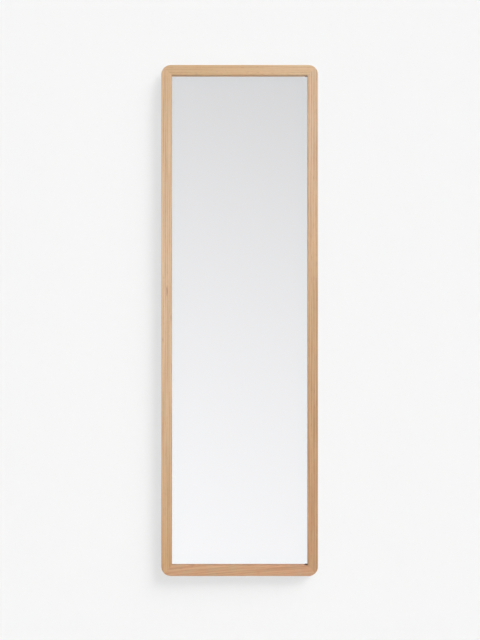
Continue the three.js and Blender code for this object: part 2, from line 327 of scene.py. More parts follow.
add_sun("key", (-1.5, 1, -1.8), 1.96, KEY_SOFTNESS)
add_sun("room_fill", (0, 1, 0), 1.26, ROOM_SOFTNESS, WARM_WHITE, glossy=False, shadow=False)
add_sun("floor_bounce", (1.09, 0.73, 1.49), 1.98, BOUNCE_SOFTNESS, COOL_WHITE, glossy=False, shadow=False)
add_sun("ceiling_bounce", (0, 0.5, -0.87), 0.9, BOUNCE_SOFTNESS, COOL_WHITE, glossy=False, shadow=False)
add_sun("edge_light", (-0.62, 0, -0.78), 1.6, EDGE_SOFTNESS, glossy=False, shadow=False)
add_sun("rear_key", (0.7, -1, -0.8), 2.2, KEY_SOFTNESS)
add_sun("rear_fill", (-0.6, -1, -0.1), 1.1, KEY_SOFTNESS, glossy=False)


ROOM_LEVEL, ROOM_FALL, ROOM_BEND, SIDE_FALL = 0.903, 0.49, 0.39, 0.21
RISE_LOW, RISE_HIGH = -0.45, 0.6
EVEN_LIGHT = 0.13


def make_world():
    """What the mirror and the camera see is the room's level, less its fall times the rise of the
    direction, less its bend times the rise squared, and a little less to the right. In reflections the
    room is darker far to the sides, and behind the wall. Other rays get a low even light."""
    world = bpy.data.worlds.new("room_light")
    world.use_nodes = True
    tree = world.node_tree
    tree.nodes.clear()
    way = add_node(tree, "ShaderNodeSeparateXYZ",
                   {0: tree.nodes.new("ShaderNodeTexCoord").outputs["Generated"]}).outputs
    lift = VIEW_RISE / VIEW_DISTANCE
    rise = remap(tree, way[2], RISE_LOW - lift, RISE_HIGH - lift, RISE_LOW, RISE_HIGH)
    fall = math_node(tree, "MULTIPLY_ADD", rise, ROOM_BEND, ROOM_FALL)
    level = minus(tree, ROOM_LEVEL, times(tree, rise, fall))
    level = minus(tree, level, times(tree, way[0], SIDE_FALL))
    path = tree.nodes.new("ShaderNodeLightPath").outputs
    aside = remap(tree, math_node(tree, "ABSOLUTE", way[0]), 0.12, 0.85, 1.0, 0.60, True)
    aside = times(tree, aside, remap(tree, way[1], 0.0, 0.7, 1.0, 0.5, True))
    level = times(tree, level, math_node(tree, "MAXIMUM", aside, path["Is Camera Ray"]))
    room = add_node(tree, "ShaderNodeBackground", {"Color": (0.992, 0.988, 1.0, 1), "Strength": level})
    dim = add_node(tree, "ShaderNodeBackground", {"Color": (1, 1, 1, 1), "Strength": EVEN_LIGHT})
    seen = math_node(tree, "MAXIMUM", path["Is Camera Ray"], path["Is Glossy Ray"])
    seen = math_node(tree, "MAXIMUM", seen, path["Is Transmission Ray"])
    finish_mixed(tree, seen, dim, room, "ShaderNodeOutputWorld")
    return world


bpy.context.scene.world = make_world()
print(len(bpy.data.lights), "lamps and the world", bpy.context.scene.world.name)

# %% [markdown]
# ## Oak
# Oak shows three things at once: growth rings that run along the timber, with a porous dark line at
# the start of each year; fine fibres; and short dark pores. The figure could be streaks laid on each
# face, but they wouldn't meet at the edges. Here the whole tree is worked out, and the timber cuts
# through it. One node group does that from a vector whose Z runs along the grain. The rings are
# distances from the tree's middle, which is the vector's own Z axis, so moving the vector with a
# Mapping node moves the timber within the tree.

# %% The grain group
def make_grain_group():
    """Rings, fibres and pores, mixed into a colour, a height and a roughness."""
    colour, number = "NodeSocketColor", "NodeSocketFloat"
    inputs = {
        "Vector": ("NodeSocketVector", None),
        "Light": (colour, None),
        "Dark": (colour, None),
        "Pore": (colour, (0.20, 0.11, 0.06, 1)),
        "Ring Width": (number, None),
        "Wander": (number, 6 * MM),
        "Ring Share": (number, 0.5),
        "Pore Share": (number, 0.5),
        "Blush": (number, 0.6),
    }
    outputs = {"Color": colour, "Height": number, "Roughness": number}
    group, given, out = new_group("wood_grain", inputs, outputs)
    vector = given["Vector"]

    wander = long_noise(group, vector, 0.16, 16.0, detail=3.0)
    wander = times(group, minus(group, wander, 0.5), given["Wander"])
    part = add_node(group, "ShaderNodeSeparateXYZ", {0: vector}).outputs
    squares = [times(group, part[axis], part[axis]) for axis in (0, 1)]
    across = math_node(group, "POWER", plus(group, *squares), 0.5)
    year = math_node(group, "DIVIDE", plus(group, across, wander), given["Ring Width"])
    phase = math_node(group, "FRACT", year)
    start, fade = remap(group, phase, 0.90, 1.0, 0, 1, True), remap(group, phase, 0.0, 0.55, 1, 0, True)
    early = math_node(group, "MAXIMUM", start, fade)

    fibre = long_noise(group, vector, 0.011, 1500.0, detail=4.0, roughness=0.65)
    streak = long_noise(group, vector, 0.02, 260.0)
    dash = long_noise(group, vector, 0.045, 1500.0, detail=1.0)
    pore = remap(group, dash, 0.57, 0.69, 0, 1, True)
    pore = times(group, pore, remap(group, early, 0.0, 1.0, 0.25, 1.0))
    cloud = long_noise(group, vector, 0.2, 7.0)

    share = times(group, early, given["Ring Share"])
    share = plus(group, share, remap(group, fibre, 0.3, 0.7, -0.24, 0.32))
    share = plus(group, share, remap(group, streak, 0.3, 0.7, -0.22, 0.38))
    share = plus(group, share, remap(group, cloud, 0.3, 0.7, -0.12, 0.22), clamp=True)
    body = mix_colour(group, share, given["Light"], given["Dark"])
    patch = noise(group, stretched(group, vector, (1, 1, 0.25), (0.3, 0.1, 0.2)), 85.0, detail=3.0)
    patch = times(group, remap(group, patch, 0.35, 0.65), given["Blush"])
    rosy = mix_colour(group, 1.0, body, (1.05, 0.93, 0.90, 1), "MULTIPLY")
    body = mix_colour(group, patch, body, rosy)
    depth = times(group, pore, given["Pore Share"])
    group.links.new(mix_colour(group, depth, body, given["Pore"]), out["Color"])

    height = minus(group, remap(group, fibre, 0.2, 0.8, 0.5, 1.0), depth)
    group.links.new(minus(group, height, times(group, early, 0.15)), out["Height"])
    group.links.new(plus(group, 0.46, times(group, share, 0.14)), out["Roughness"])
    return group


GRAIN = make_grain_group()
print("wood grain group:", len(GRAIN.nodes), "nodes")

# %% [markdown]
# A fleck is a small dark streak where a twig or a bark line once was. Its mask is one near its middle and
# falls to nought where the stretched distance from there is one. The same mask places the painted corner
# shade on the mirror's silver.

# %% The fleck group
def make_fleck_and_shade_spot_group():
    """A mask that falls from 1 at the fleck's middle to 0 at its edge."""
    vector = "NodeSocketVector"
    inputs = {"Vector": (vector, None), "Middle": (vector, (0, 0, 0)), "Half Size": (vector, (1, 1, 1))}
    group, given, out = new_group("grain_fleck", inputs, {"Mask": "NodeSocketFloat"})
    ragged = long_noise(group, given["Vector"], 0.2, 500.0)
    sum_kind, gap = "ShaderNodeVectorMath", given["Vector"]
    for operation, other in (("SUBTRACT", "Middle"), ("DIVIDE", "Half Size")):
        gap = add_node(group, sum_kind, {0: gap, 1: given[other]}, operation=operation).outputs[0]
    length = add_node(group, sum_kind, {0: gap}, operation="LENGTH").outputs["Value"]
    length = plus(group, length, remap(group, ragged, 0.2, 0.8, -0.3, 0.3))
    group.links.new(remap(group, length, 0.2, 1.0, 1, 0, True), out["Mask"])
    return group


FLECK_AND_SHADE_SPOT = make_fleck_and_shade_spot_group()
print("fleck group:", len(FLECK_AND_SHADE_SPOT.nodes), "nodes")


# %% [markdown]
# Each timber was cut from its own board, so each has its own oak: the middle of the tree lies in another
# place. Each also gets a tint that drifts along its length: the stiles darker towards the bottom, the
# bottom rail darker than the top rail, and the top rail lighter towards its right end. The rails' vector
# is turned a quarter turn about Y first, because their grain runs level, and a little more on the bottom
# rail, whose grain runs out slantwise through its face.

# %% Oak for each timber
OAK_LIGHT = (0.663, 0.479, 0.323, 1)
OAK_DARK = (0.456, 0.285, 0.171, 1)
OAK_PORE = (0.230, 0.125, 0.075, 1)
KNOT_BROWN = (0.27, 0.12, 0.085, 1)


def group_node(tree, group, values):
    """A copy of a node group in a tree."""
    return add_node(tree, "ShaderNodeGroup", values, node_tree=group).outputs


def drift_along(tree, value, stops, tones):
    """A tint that goes evenly from tone to tone, each at its stop, which is a share of the length."""
    ramp = add_node(tree, "ShaderNodeValToRGB", {"Fac": value})
    elements = ramp.color_ramp.elements
    elements[0].position, elements[1].position = stops[0], stops[-1]
    for position in stops[1:-1]:
        elements.new(position)
    for element, tone in zip(elements, tones):
        element.color = (*tone, 1)
    return ramp.outputs["Color"]


def oak_material(timber, heart, stops, tones, grain_values, flecks=(), lean=0.0):
    """Oak with its grain upright, or level in a rail. Heart is how far the tree's middle is from the
    timber, the tones lie at their stops along it from the left or from below, and lean is how far the
    grain of a rail runs off its line."""
    level = timber.endswith("rail")
    material, tree, place = new_material(f"oak_{timber}")
    turn = (0, QUARTER + lean, 0) if level else (0, 0, 0)
    along = stretched(tree, place, (1, 1, 1), heart, turn)
    grain = group_node(tree, GRAIN, {"Vector": along, "Light": OAK_LIGHT, "Dark": OAK_DARK,
                                     "Pore": OAK_PORE, **grain_values})
    part = add_node(tree, "ShaderNodeSeparateXYZ", {0: place}).outputs
    where = remap(tree, part[0], LEFT, RIGHT) if level else remap(tree, part[2], LOW, HIGH)
    drift = drift_along(tree, where, stops, tones)
    colour = mix_colour(tree, 1.0, grain["Color"], drift, "MULTIPLY")
    for middle, half_size, strength in flecks:
        spot = {"Vector": place, "Middle": middle, "Half Size": half_size}
        dark = times(tree, group_node(tree, FLECK_AND_SHADE_SPOT, spot)["Mask"], strength)
        colour = mix_colour(tree, dark, colour, KNOT_BROWN)
    return finish_material(material, colour, grain["Roughness"], grain["Height"], 0.35, 0.15 * MM,
                           {"Specular IOR Level": 0.38})


print("oak goes from", OAK_LIGHT[:3], "to", OAK_DARK[:3])


# %% Four oaks
FACE_MIDDLE = FRONT + 2 * MM
# Tints along each timber: darker towards the bottom on the stiles, lighter towards the right on the top
# rail.
STILE_STOPS = (0.03, 0.12, 0.30, 0.50, 0.70, 0.86, 0.97)
LEFT_TONES = [(0.79, 0.71, 0.57), (0.83, 0.78, 0.68), (0.87, 0.86, 0.81), (0.94, 0.97, 0.96),
              (0.94, 0.97, 0.97), (0.93, 0.95, 0.93), (0.91, 0.90, 0.84)]
RIGHT_TONES = [(0.74, 0.65, 0.55), (0.80, 0.71, 0.62), (0.83, 0.78, 0.69), (0.88, 0.86, 0.79),
               (0.89, 0.88, 0.85), (0.92, 0.94, 0.96), (0.94, 0.97, 0.98)]
TOP_STOPS = (0.10, 0.30, 0.50, 0.70, 0.90)
TOP_TONES = [(0.83, 0.79, 0.69), (0.84, 0.81, 0.70), (0.88, 0.84, 0.75), (0.92, 0.90, 0.83),
             (0.93, 0.94, 0.89)]
BOTTOM_STOPS = (0.10, 0.50, 0.90)
BOTTOM_TONES = [(0.80, 0.73, 0.66), (0.79, 0.73, 0.65), (0.78, 0.69, 0.63)]
LEFT_FLECKS = [
    ((LEFT + 17 * MM, FACE_MIDDLE, HIGH - 0.663), (2.4 * MM, 6 * MM, 21 * MM), 1.0),
    ((LEFT + 29 * MM, FACE_MIDDLE, HIGH - 0.742), (2.4 * MM, 6 * MM, 15 * MM), 0.65),
    ((LEFT + 5 * MM, FACE_MIDDLE, HIGH - 0.808), (3.0 * MM, 6 * MM, 14 * MM), 0.35),
]
BOTTOM_FLECKS = [
    ((LEFT + 58 * MM, FACE_MIDDLE, LOW + 22 * MM), (9 * MM, 6 * MM, 2 * MM), 0.35),
    ((LEFT + 72 * MM, FACE_MIDDLE, LOW + 16 * MM), (7 * MM, 6 * MM, 2 * MM), 0.25),
]
OAK_BOARDS = {
    "left_stile": ((0.062, 0.018, 0), STILE_STOPS, LEFT_TONES,
                   {"Ring Width": 6.2 * MM, "Ring Share": 0.38, "Wander": 9 * MM}, LEFT_FLECKS),
    "right_stile": ((-0.255, 0.035, 0.4), STILE_STOPS, RIGHT_TONES,
                    {"Ring Width": 7.4 * MM, "Ring Share": 0.42}),
    "top_rail": ((-0.17, -0.02, 0.8), TOP_STOPS, TOP_TONES,
                 {"Ring Width": 5.2 * MM, "Ring Share": 0.18, "Wander": 12 * MM, "Blush": 0.5}),
    "bottom_rail": ((1.244, -0.012, 1.3), BOTTOM_STOPS, BOTTOM_TONES,
                    {"Ring Width": 4.6 * MM, "Ring Share": 0.26, "Wander": 22 * MM, "Blush": 1.5},
                    BOTTOM_FLECKS, 0.085),
}
OAKS = {timber: oak_material(timber, *values) for timber, values in OAK_BOARDS.items()}
print("oak for", ", ".join(OAKS))

# %% [markdown]
# ## Surfaces from arrays
# Every piece is a grid of points: rows along one parameter and columns along another. The faces are
# the quads between neighbouring rows and columns, and flat caps shut the open ends. If the enclosed
# volume is negative, the faces point inwards and the mesh is flipped.

# %% Grid to mesh, and mesh to piece
def grid_quads(rows, columns, close_rows):
    """Quads between neighbours of a grid whose columns go round, and its rows too if they close."""
    r = np.arange(rows if close_rows else rows - 1)[:, None]
    c = np.arange(columns)[None, :]
    next_r, next_c = (r + 1) % rows, (c + 1) % columns
    corners = [r * columns + c, next_r * columns + c, next_r * columns + next_c, r * columns + next_c]
    return np.stack(corners, axis=-1).reshape(-1, 4)


def enclosed_volume(mesh):
    """A sixth of the sum of the triangles' triple products; positive if the faces point outwards."""
    mesh.calc_loop_triangles()
    corners = np.empty(3 * len(mesh.loop_triangles), np.int32)
    mesh.loop_triangles.foreach_get("vertices", corners)
    places = np.empty(3 * len(mesh.vertices))
    mesh.vertices.foreach_get("co", places)
    a, b, c = places.reshape(-1, 3)[corners.reshape(-1, 3)].transpose(1, 0, 2)
    return np.einsum("ij,ij->", a, np.cross(b, c)) / 6


def grid_mesh(name, points, close_rows):
    """A closed mesh from a grid. Rows that don't close get flat caps."""
    rows, columns = points.shape[:2]
    faces = grid_quads(rows, columns, close_rows).tolist()
    if not close_rows:
        first = list(range(columns))
        faces += [first, [(rows - 1) * columns + c for c in reversed(first)]]
    mesh = bpy.data.meshes.new(name)
    mesh.from_pydata(points.reshape(-1, 3).tolist(), [], faces)
    if enclosed_volume(mesh) < 0:
        mesh.flip_normals()
    return mesh


def add_piece(name, points, node, material, body="frame", crease=35, close_rows=False):
    """A piece from a grid, which stands for a CAD node and rides on a body. Edges sharper than the
    crease stay crisp."""
    mesh = grid_mesh(name, points, close_rows)
    mesh.shade_smooth()
    mesh.set_sharp_from_angle(angle=math.radians(crease))
    mesh.materials.append(material)
    piece = bpy.data.objects.new(name, mesh)
    bpy.context.scene.collection.objects.link(piece)
    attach(piece, body)
    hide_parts(node)
    evener = piece.modifiers.new("even_shading", "WEIGHTED_NORMAL")
    evener.keep_sharp = True
    return piece


print("a grid of 3 by 4 points has", len(grid_quads(3, 4, False)), "quads")


# %% [markdown]
# ## The timbers
# One section, a flat board with a rebate and eased edges, is carried along each side of the frame.
# Bevelled boxes would need their corners cut round afterwards, which breaks the easing of the edges.
# Carried along, the easing goes round with the corner: near an end every line of the section follows
# a concentric arc for an eighth of a turn and stops at the mitre. Lines nearer the glass than the
# arc's centre run straight to the mitre, which keeps the inner corners square. Bounced light doesn't
# find the timbers, so they don't tint the wall.

# %% Section of a timber
FRONT_EASE = 1.7 * MM
SIGHT_EASE = 0.7 * MM
BACK_EASE = 1.5 * MM


def arc(middle_x, middle_y, radius, start, end, steps):
    """Points on a circle from one angle to another, as pairs."""
    turn = np.linspace(start, end, steps)
    return np.column_stack([middle_x + radius * np.cos(turn), middle_y + radius * np.sin(turn)])


def full_turn(steps):
    """Evenly spaced angles all the way round."""
    return np.linspace(0, 2 * math.pi, steps, endpoint=False)


def timber_section():
    """The section's outline as (distance from the outer edge, depth from the front face) pairs."""
    depth = BACK - FRONT
    front = arc(FRONT_EASE, FRONT_EASE, FRONT_EASE, math.pi, 1.5 * math.pi, 9)
    face = np.column_stack([np.linspace(6, 26, 5) * MM, np.zeros(5)])
    sight = arc(FACE - SIGHT_EASE, SIGHT_EASE, SIGHT_EASE, -QUARTER, 0, 8)
    rebate = np.array([(FACE, LIP), (LAND, LIP), (LAND, depth)])
    back = arc(BACK_EASE, depth - BACK_EASE, BACK_EASE, QUARTER, math.pi, 8)
    return np.concatenate([front, face, sight, rebate, back])


print(len(timber_section()), "points in a timber's section")


# %% Carry the section along a side
ARC_STEPS = 14
STRAIGHT_STEPS = 24
LINE_START, RUN_START = CORNER_RADIUS + 4 * MM, CORNER_RADIUS + 6 * MM


def end_run(across):
    """Grids of the place across and along, from the mitre to the straight run, for each distance
    across: on the concentric arc, from an eighth of a turn to none, or on the straight line."""
    turn = np.linspace(math.pi / 4, 0, ARC_STEPS)[:, None]
    radius = CORNER_RADIUS - across[None, :]
    share = turn / (math.pi / 4)
    outer = across < CORNER_RADIUS
    arc_across = CORNER_RADIUS - radius * np.cos(turn)
    arc_along = CORNER_RADIUS - radius * np.sin(turn)
    line_along = LINE_START + (across - LINE_START) * share
    new_across = np.where(outer, arc_across, across)
    new_along = np.where(outer, arc_along, line_along) + HALF_GLUE_LINE * math.sqrt(2) * share
    return new_across, new_along


def timber_points(side):
    """The section carried along its side of the frame: an end run, a straight run, and an end run
    turned round."""
    length = HIGH - LOW if side.endswith("stile") else RIGHT - LEFT
    across, depth = timber_section().T
    near_across, near_along = end_run(across)
    run = np.linspace(RUN_START, length - RUN_START, STRAIGHT_STEPS)[:, None]
    run_across, run_along = np.broadcast_arrays(across, run)
    across = np.concatenate([near_across, run_across, near_across[::-1]])
    along = np.concatenate([near_along, run_along, length - near_along[::-1]])
    x, z = {
        "left_stile": (LEFT + across, LOW + along),
        "right_stile": (RIGHT - across, LOW + along),
        "bottom_rail": (LEFT + along, LOW + across),
        "top_rail": (LEFT + along, HIGH - across),
    }[side]
    return np.stack([x, FRONT + np.broadcast_to(depth, x.shape), z], axis=-1)


for side, oak in OAKS.items():
    timber = add_piece(f"{side}_timber", timber_points(side), side, oak)
    timber.visible_diffuse = False
    print(timber.name, len(timber.data.polygons), "faces")

# %% [markdown]
# ## Flat pieces with eased edges
# Glass, film, tape, board, blocks and tongues are plates. An outline is a centre, a direction and a
# radius at every point, so drawing it smaller only takes smaller radii, and the corners stay round.
# The rows go out along the easing of one face and in along the other.

# %% Plate surface
EASE_STEPS = 5


def rounded_rectangle(left, right, low, high, radius, steps=8):
    """Centres, directions and radii of a rectangle with quarter circles for corners, going round once."""
    turn = np.linspace(0, QUARTER, steps)
    centres, directions = [], []
    for quarter, (x, z) in enumerate([(right, high), (left, high), (left, low), (right, low)]):
        inward_x = -radius if x == right else radius
        inward_z = -radius if z == high else radius
        centres.append(np.broadcast_to([x + inward_x, z + inward_z], (steps, 2)))
        angle = turn + quarter * QUARTER
        directions.append(np.column_stack([np.cos(angle), np.sin(angle)]))
    return np.concatenate(centres), np.concatenate(directions), np.full(4 * steps, radius)


def eased_rings(outline, front, back, ease):
    """Rings inside the outline, and each one's depth: out along a quarter circle at the front face, and
    in again at the back face."""
    centres, directions, radii = outline
    turn = np.linspace(0, QUARTER, EASE_STEPS)
    inset, sunk = ease * (1 - np.sin(turn)), ease * (1 - np.cos(turn))
    insets = np.concatenate([inset, inset[::-1]])
    rings = centres[None] + directions[None] * (radii[None, :] - insets[:, None])[..., None]
    return rings, np.concatenate([front + sunk, back - sunk[::-1]])


def plate_points(outline, front, back, ease):
    """The rings of the outline, each at its own depth."""
    rings, depths = eased_rings(outline, front, back, ease)
    depth = np.broadcast_to(depths[:, None], rings.shape[:2])
    return np.stack([rings[..., 0], depth, rings[..., 1]], axis=-1)


def plate(name, node, material, corner, ease, front=None, back=None):
    """A plate that fills a CAD node's box, or part of its depth."""
    low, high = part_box(node)
    outline = rounded_rectangle(low.x, high.x, low.z, high.z, corner)
    front, back = low.y if front is None else front, high.y if back is None else back
    return add_piece(name, plate_points(outline, front, back, ease), node, material)


print(len(rounded_rectangle(-1, 1, -1, 1, 0.1)[2]), "points round a plate")


# %% [markdown]
# ## The mirror
# A wall mirror reflects from the back of its glass: four millimetres of float glass, then a film of
# silver. One shiny plate would be simpler, but with a clear pane and a bright metal film behind it the
# lip of the frame shows twice with a thin dark line between, as on a real mirror. The silver has a faint
# painted shade near its edge, a little darker and greener in the last centimetres, and painted shade in
# its two right-hand inner corners.

# %% Glass and silver
SILVER = 0.10 * MM
SILVER_AIR = 0.02 * MM
# The edge colour is a painted shade near the frame; the brown is the painted shade of the corner spots.
CLEAR_SILVER, EDGE_SHADE_SILVER = (0.962, 0.962, 0.960, 1), (0.940, 0.952, 0.946, 1)
CORNER_SHADE_BROWN = (0.10, 0.052, 0.032, 1)


def glass_material():
    """Clear float glass."""
    material, _, _ = new_material("float_glass")
    clear = {"IOR": 1.52, "Transmission Weight": 1.0}
    return finish_material(material, (0.985, 0.988, 0.990, 1), 0.0, extra=clear)


def silver_material():
    """Bright silver with painted shade: it darkens and greens a little in the last centimetres before its
    edge, and two small dark spots of painted shade sit at the right-hand inner corners."""
    material, tree, place = new_material("mirror_silver")
    low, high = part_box("mirror_glass")
    part = add_node(tree, "ShaderNodeSeparateXYZ", {0: place}).outputs
    to_side = minus(tree, high.x, math_node(tree, "ABSOLUTE", part[0]))
    to_end = math_node(tree, "ABSOLUTE", minus(tree, part[2], (low.z + high.z) / 2))
    to_end = minus(tree, (high.z - low.z) / 2, to_end)
    edge = math_node(tree, "MINIMUM", to_side, to_end)
    # Painted shade: the silver is darker and greener over the last 55 mm before the glass's edge.
    tint = remap(tree, edge, 4 * MM, 55 * MM, 0.0, 1.0, True)
    colour = mix_colour(tree, tint, EDGE_SHADE_SILVER, CLEAR_SILVER)
    # Painted shade: two small dark spots on the silver at the right-hand inner corners.
    for z, half_height, strength in ((LOW + FACE, 6 * MM, 0.95), (HIGH - FACE, 5 * MM, 0.5)):
        spot = {"Vector": place, "Middle": (RIGHT - FACE - 3 * MM, high.y, z),
                "Half Size": (9 * MM, 5 * MM, half_height)}
        dark = times(tree, group_node(tree, FLECK_AND_SHADE_SPOT, spot)["Mask"], strength)
        colour = mix_colour(tree, dark, colour, CORNER_SHADE_BROWN)
    return finish_material(material, colour, 0.0, extra={"Metallic": 1.0})


glass_low, glass_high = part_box("mirror_glass")
silver_front = glass_high.y - SILVER
plate("glass_pane", "mirror_glass", glass_material(), 2 * MM, 0.5 * MM,
      back=silver_front - SILVER_AIR)
plate("silver_film", "mirror_glass", silver_material(), 2 * MM, 0.02 * MM,
      front=silver_front)
print(f"glass {(silver_front - glass_low.y) / MM:.2f} mm thick in front of the silver")

# %% [markdown]
# ## Behind the glass
# A plain woven film holds the glass if it breaks, and foam tape joins it to the board. The board is
# raw fibreboard: pressed wood fibres, so its colour is an even brown made of fine pale and dark
# flecks. The blocks under the glass are black rubber.

# %% Finishes behind the glass
def fibreboard_material():
    """Pressed fibres: two sizes of fleck over soft clouds."""
    material, tree, place = new_material("raw_fibreboard")
    fleck = long_noise(tree, place, 0.35, 1100.0, detail=4.0, roughness=0.7)
    mottle = noise(tree, place, 190.0, detail=3.0)
    cloud = noise(tree, place, 6.0)
    pressed = remap(tree, mottle, 0.3, 0.7, -0.15, 0.2)
    share = plus(tree, remap(tree, fleck, 0.35, 0.65, 0.0, 0.6), pressed)
    share = plus(tree, share, remap(tree, cloud, 0.3, 0.7, -0.08, 0.2), clamp=True)
    colour = mix_colour(tree, share, (0.335, 0.215, 0.120, 1), (0.480, 0.330, 0.200, 1))
    rough = remap(tree, fleck, 0.3, 0.7, 0.68, 0.82)
    return finish_material(material, colour, rough, fleck, 0.25, 0.1 * MM)


def film_material():
    """Woven polyethylene: two crossed sets of fine ribs."""
    material, tree, place = new_material("woven_film")
    values = {"Vector": place, "Scale": 500.0, "Distortion": 0.0}
    warp = add_node(tree, "ShaderNodeTexWave", values, bands_direction="X").outputs["Fac"]
    weft = add_node(tree, "ShaderNodeTexWave", values, bands_direction="Z").outputs["Fac"]
    weave = times(tree, warp, weft)
    colour = mix_colour(tree, weave, (0.50, 0.56, 0.62, 1), (0.66, 0.71, 0.76, 1))
    return finish_material(material, colour, 0.35, weave, 0.2, 0.05 * MM)


def foam_material():
    """White closed-cell foam: small round cells."""
    material, tree, place = new_material("foam_cells")
    cells = add_node(tree, "ShaderNodeTexVoronoi", {"Vector": place, "Scale": 1600.0}).outputs["Distance"]
    colour = mix_colour(tree, cells, (0.82, 0.82, 0.80, 1), (0.62, 0.62, 0.60, 1))
    return finish_material(material, colour, 0.9, cells, 0.4, 0.1 * MM)


def rubber_material():
    """Black rubber with a dusty bloom in soft patches."""
    material, tree, place = new_material("black_rubber")
    dust = noise(tree, place, 220.0, detail=4.0, roughness=0.6)
    grit = noise(tree, place, 2600.0)
    bloom = remap(tree, dust, 0.45, 0.75, 0.0, 0.5)
    colour = mix_colour(tree, bloom, (0.018, 0.018, 0.019, 1), (0.085, 0.083, 0.080, 1))
    rough = remap(tree, dust, 0.3, 0.7, 0.5, 0.75)
    return finish_material(material, colour, rough, grit, 0.3, 0.08 * MM)


RUBBER = rubber_material()
plate("safety_film_sheet", "safety_film", film_material(), 2 * MM, 0.05 * MM)
FOAM = foam_material()
for number in range(1, 5):
    plate(f"foam_strip_{number}", f"foam_tape_{number}", FOAM, 1 * MM, 0.4 * MM)
plate("fibreboard_back", "backing_board", fibreboard_material(), 1.5 * MM, 0.5 * MM)
for side in ("left", "right"):
    plate(f"rubber_block_{side}", f"setting_block_{side}", RUBBER, 0.8 * MM, 0.6 * MM)
print("film, tape, board and blocks are in the rebate")

# %% [markdown]
# ## Tongues in the mitres
# Each mitre is held by a loose tongue of beech with round edges. It is a plate like the others, made
# level and then turned an eighth of a turn, so that it lies square across the joint.

# %% Beech tongues
TONGUE_ACROSS, TONGUE_ALONG, TONGUE_PLACE = 18 * MM, 10 * MM, 21.5 * MM


def beech_material():
    """Beech is finer and pinker than oak: the same grain group with narrow rings and small pores."""
    material, tree, place = new_material("beech")
    grain = group_node(tree, GRAIN, {"Vector": stretched(tree, place, (1, 1, 1), (0.03, 0.02, 0)),
                                     "Light": (0.56, 0.35, 0.21, 1), "Dark": (0.43, 0.24, 0.13, 1),
                                     "Ring Width": 1.6 * MM, "Pore Share": 0.2})
    return finish_material(material, grain["Color"], 0.6, grain["Height"], 0.2, 0.1 * MM)


def tongue_points(side_x, side_z):
    """A level plate turned about Y to the mitre of its corner, where it is moved."""
    half, half_along = TONGUE_ACROSS / 2, TONGUE_ALONG / 2
    outline = rounded_rectangle(-half, half, -half_along, half_along, 2 * MM)
    low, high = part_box("corner_tongue_top_left")
    points = plate_points(outline, low.y, high.y, 1 * MM)
    turn = side_x * side_z * math.pi / 4
    inset = TONGUE_PLACE / math.sqrt(2)
    x = points[..., 0] * math.cos(turn) + points[..., 2] * math.sin(turn)
    z = points[..., 2] * math.cos(turn) - points[..., 0] * math.sin(turn)
    middle_x = RIGHT - inset if side_x > 0 else LEFT + inset
    middle_z = HIGH - inset if side_z > 0 else LOW + inset
    return np.stack([middle_x + x, points[..., 1], middle_z + z], axis=-1)


CORNERS = {"top_left": (-1, 1), "top_right": (1, 1), "bottom_left": (-1, -1), "bottom_right": (1, -1)}
BEECH = beech_material()
for corner, signs in CORNERS.items():
    add_piece(f"beech_tongue_{corner}", tongue_points(*signs), f"corner_tongue_{corner}", BEECH)
print(len(CORNERS), "tongues,", TONGUE_ACROSS / MM, "mm across the joint")

# %% [markdown]
# ## Zinc-plated steel
# The small hardware is stamped and bent from steel and plated with bright zinc: a cool grey metal
# with soft cloudy patches and fine scratches from handling.

# %% Zinc finish
def zinc_material():
    """Clouds change the colour and the roughness, and long thin scratches the roughness and height."""
    material, tree, place = new_material("zinc_plate")
    cloud = noise(tree, place, 320.0, detail=3.0)
    scratch = noise(tree, stretched(tree, place, (1, 1, 0.04), turn=(0.3, 0.5, 0.2)), 2400.0)
    colour = mix_colour(tree, remap(tree, cloud, 0.3, 0.7), (0.40, 0.42, 0.45, 1), (0.58, 0.60, 0.62, 1))
    scratched = remap(tree, scratch, 0.5, 0.8, 0.0, 0.14)
    rough = plus(tree, remap(tree, cloud, 0.3, 0.7, 0.24, 0.38), scratched)
    return finish_material(material, colour, rough, scratch, 0.12, 0.05 * MM, {"Metallic": 1.0})


ZINC = zinc_material()
print("zinc finish:", len(ZINC.node_tree.nodes), "nodes")

# %% [markdown]
# ## Turn buttons
# A turn button is a pear-shaped steel plate on a screw. Its outline is two circles joined by their
# outer tangents. The surface runs from the screw hole out over one face, round the rim and back over
# the other, so the grid closes both ways. Along the middle both faces rise in a pressed rib: a bell
# curve across, and a smooth step at each end.

# %% Turn button surface
PIVOT_RADIUS, TIP_RADIUS, BUTTON_REACH = 5 * MM, 4 * MM, 24 * MM
HOLE_RADIUS = 1.8 * MM
BUTTON_EASE = 0.3 * MM
RIB_HEIGHT, RIB_SPREAD = 0.5 * MM, 1.3 * MM
OUTLINE_STEPS = 26
FACE_ROWS = 12


def button_outline():
    """Centres, directions and radii round both ends of the plate, whose screw is at the origin."""
    tangent = math.acos((PIVOT_RADIUS - TIP_RADIUS) / BUTTON_REACH)
    round_screw = np.linspace(tangent, 2 * math.pi - tangent, OUTLINE_STEPS)
    angle = np.concatenate([round_screw, np.linspace(-tangent, tangent, OUTLINE_STEPS)])
    at_tip = np.repeat([0.0, 1.0], OUTLINE_STEPS)
    centres = np.column_stack([at_tip * BUTTON_REACH, np.zeros_like(angle)])
    radii = PIVOT_RADIUS + at_tip * (TIP_RADIUS - PIVOT_RADIUS)
    return centres, np.column_stack([np.cos(angle), np.sin(angle)]), radii


def smooth_step(value, low, high):
    """Nought below low and one above high, with a smooth slope between."""
    t = np.clip((value - low) / (high - low), 0, 1)
    return t * t * (3 - 2 * t)


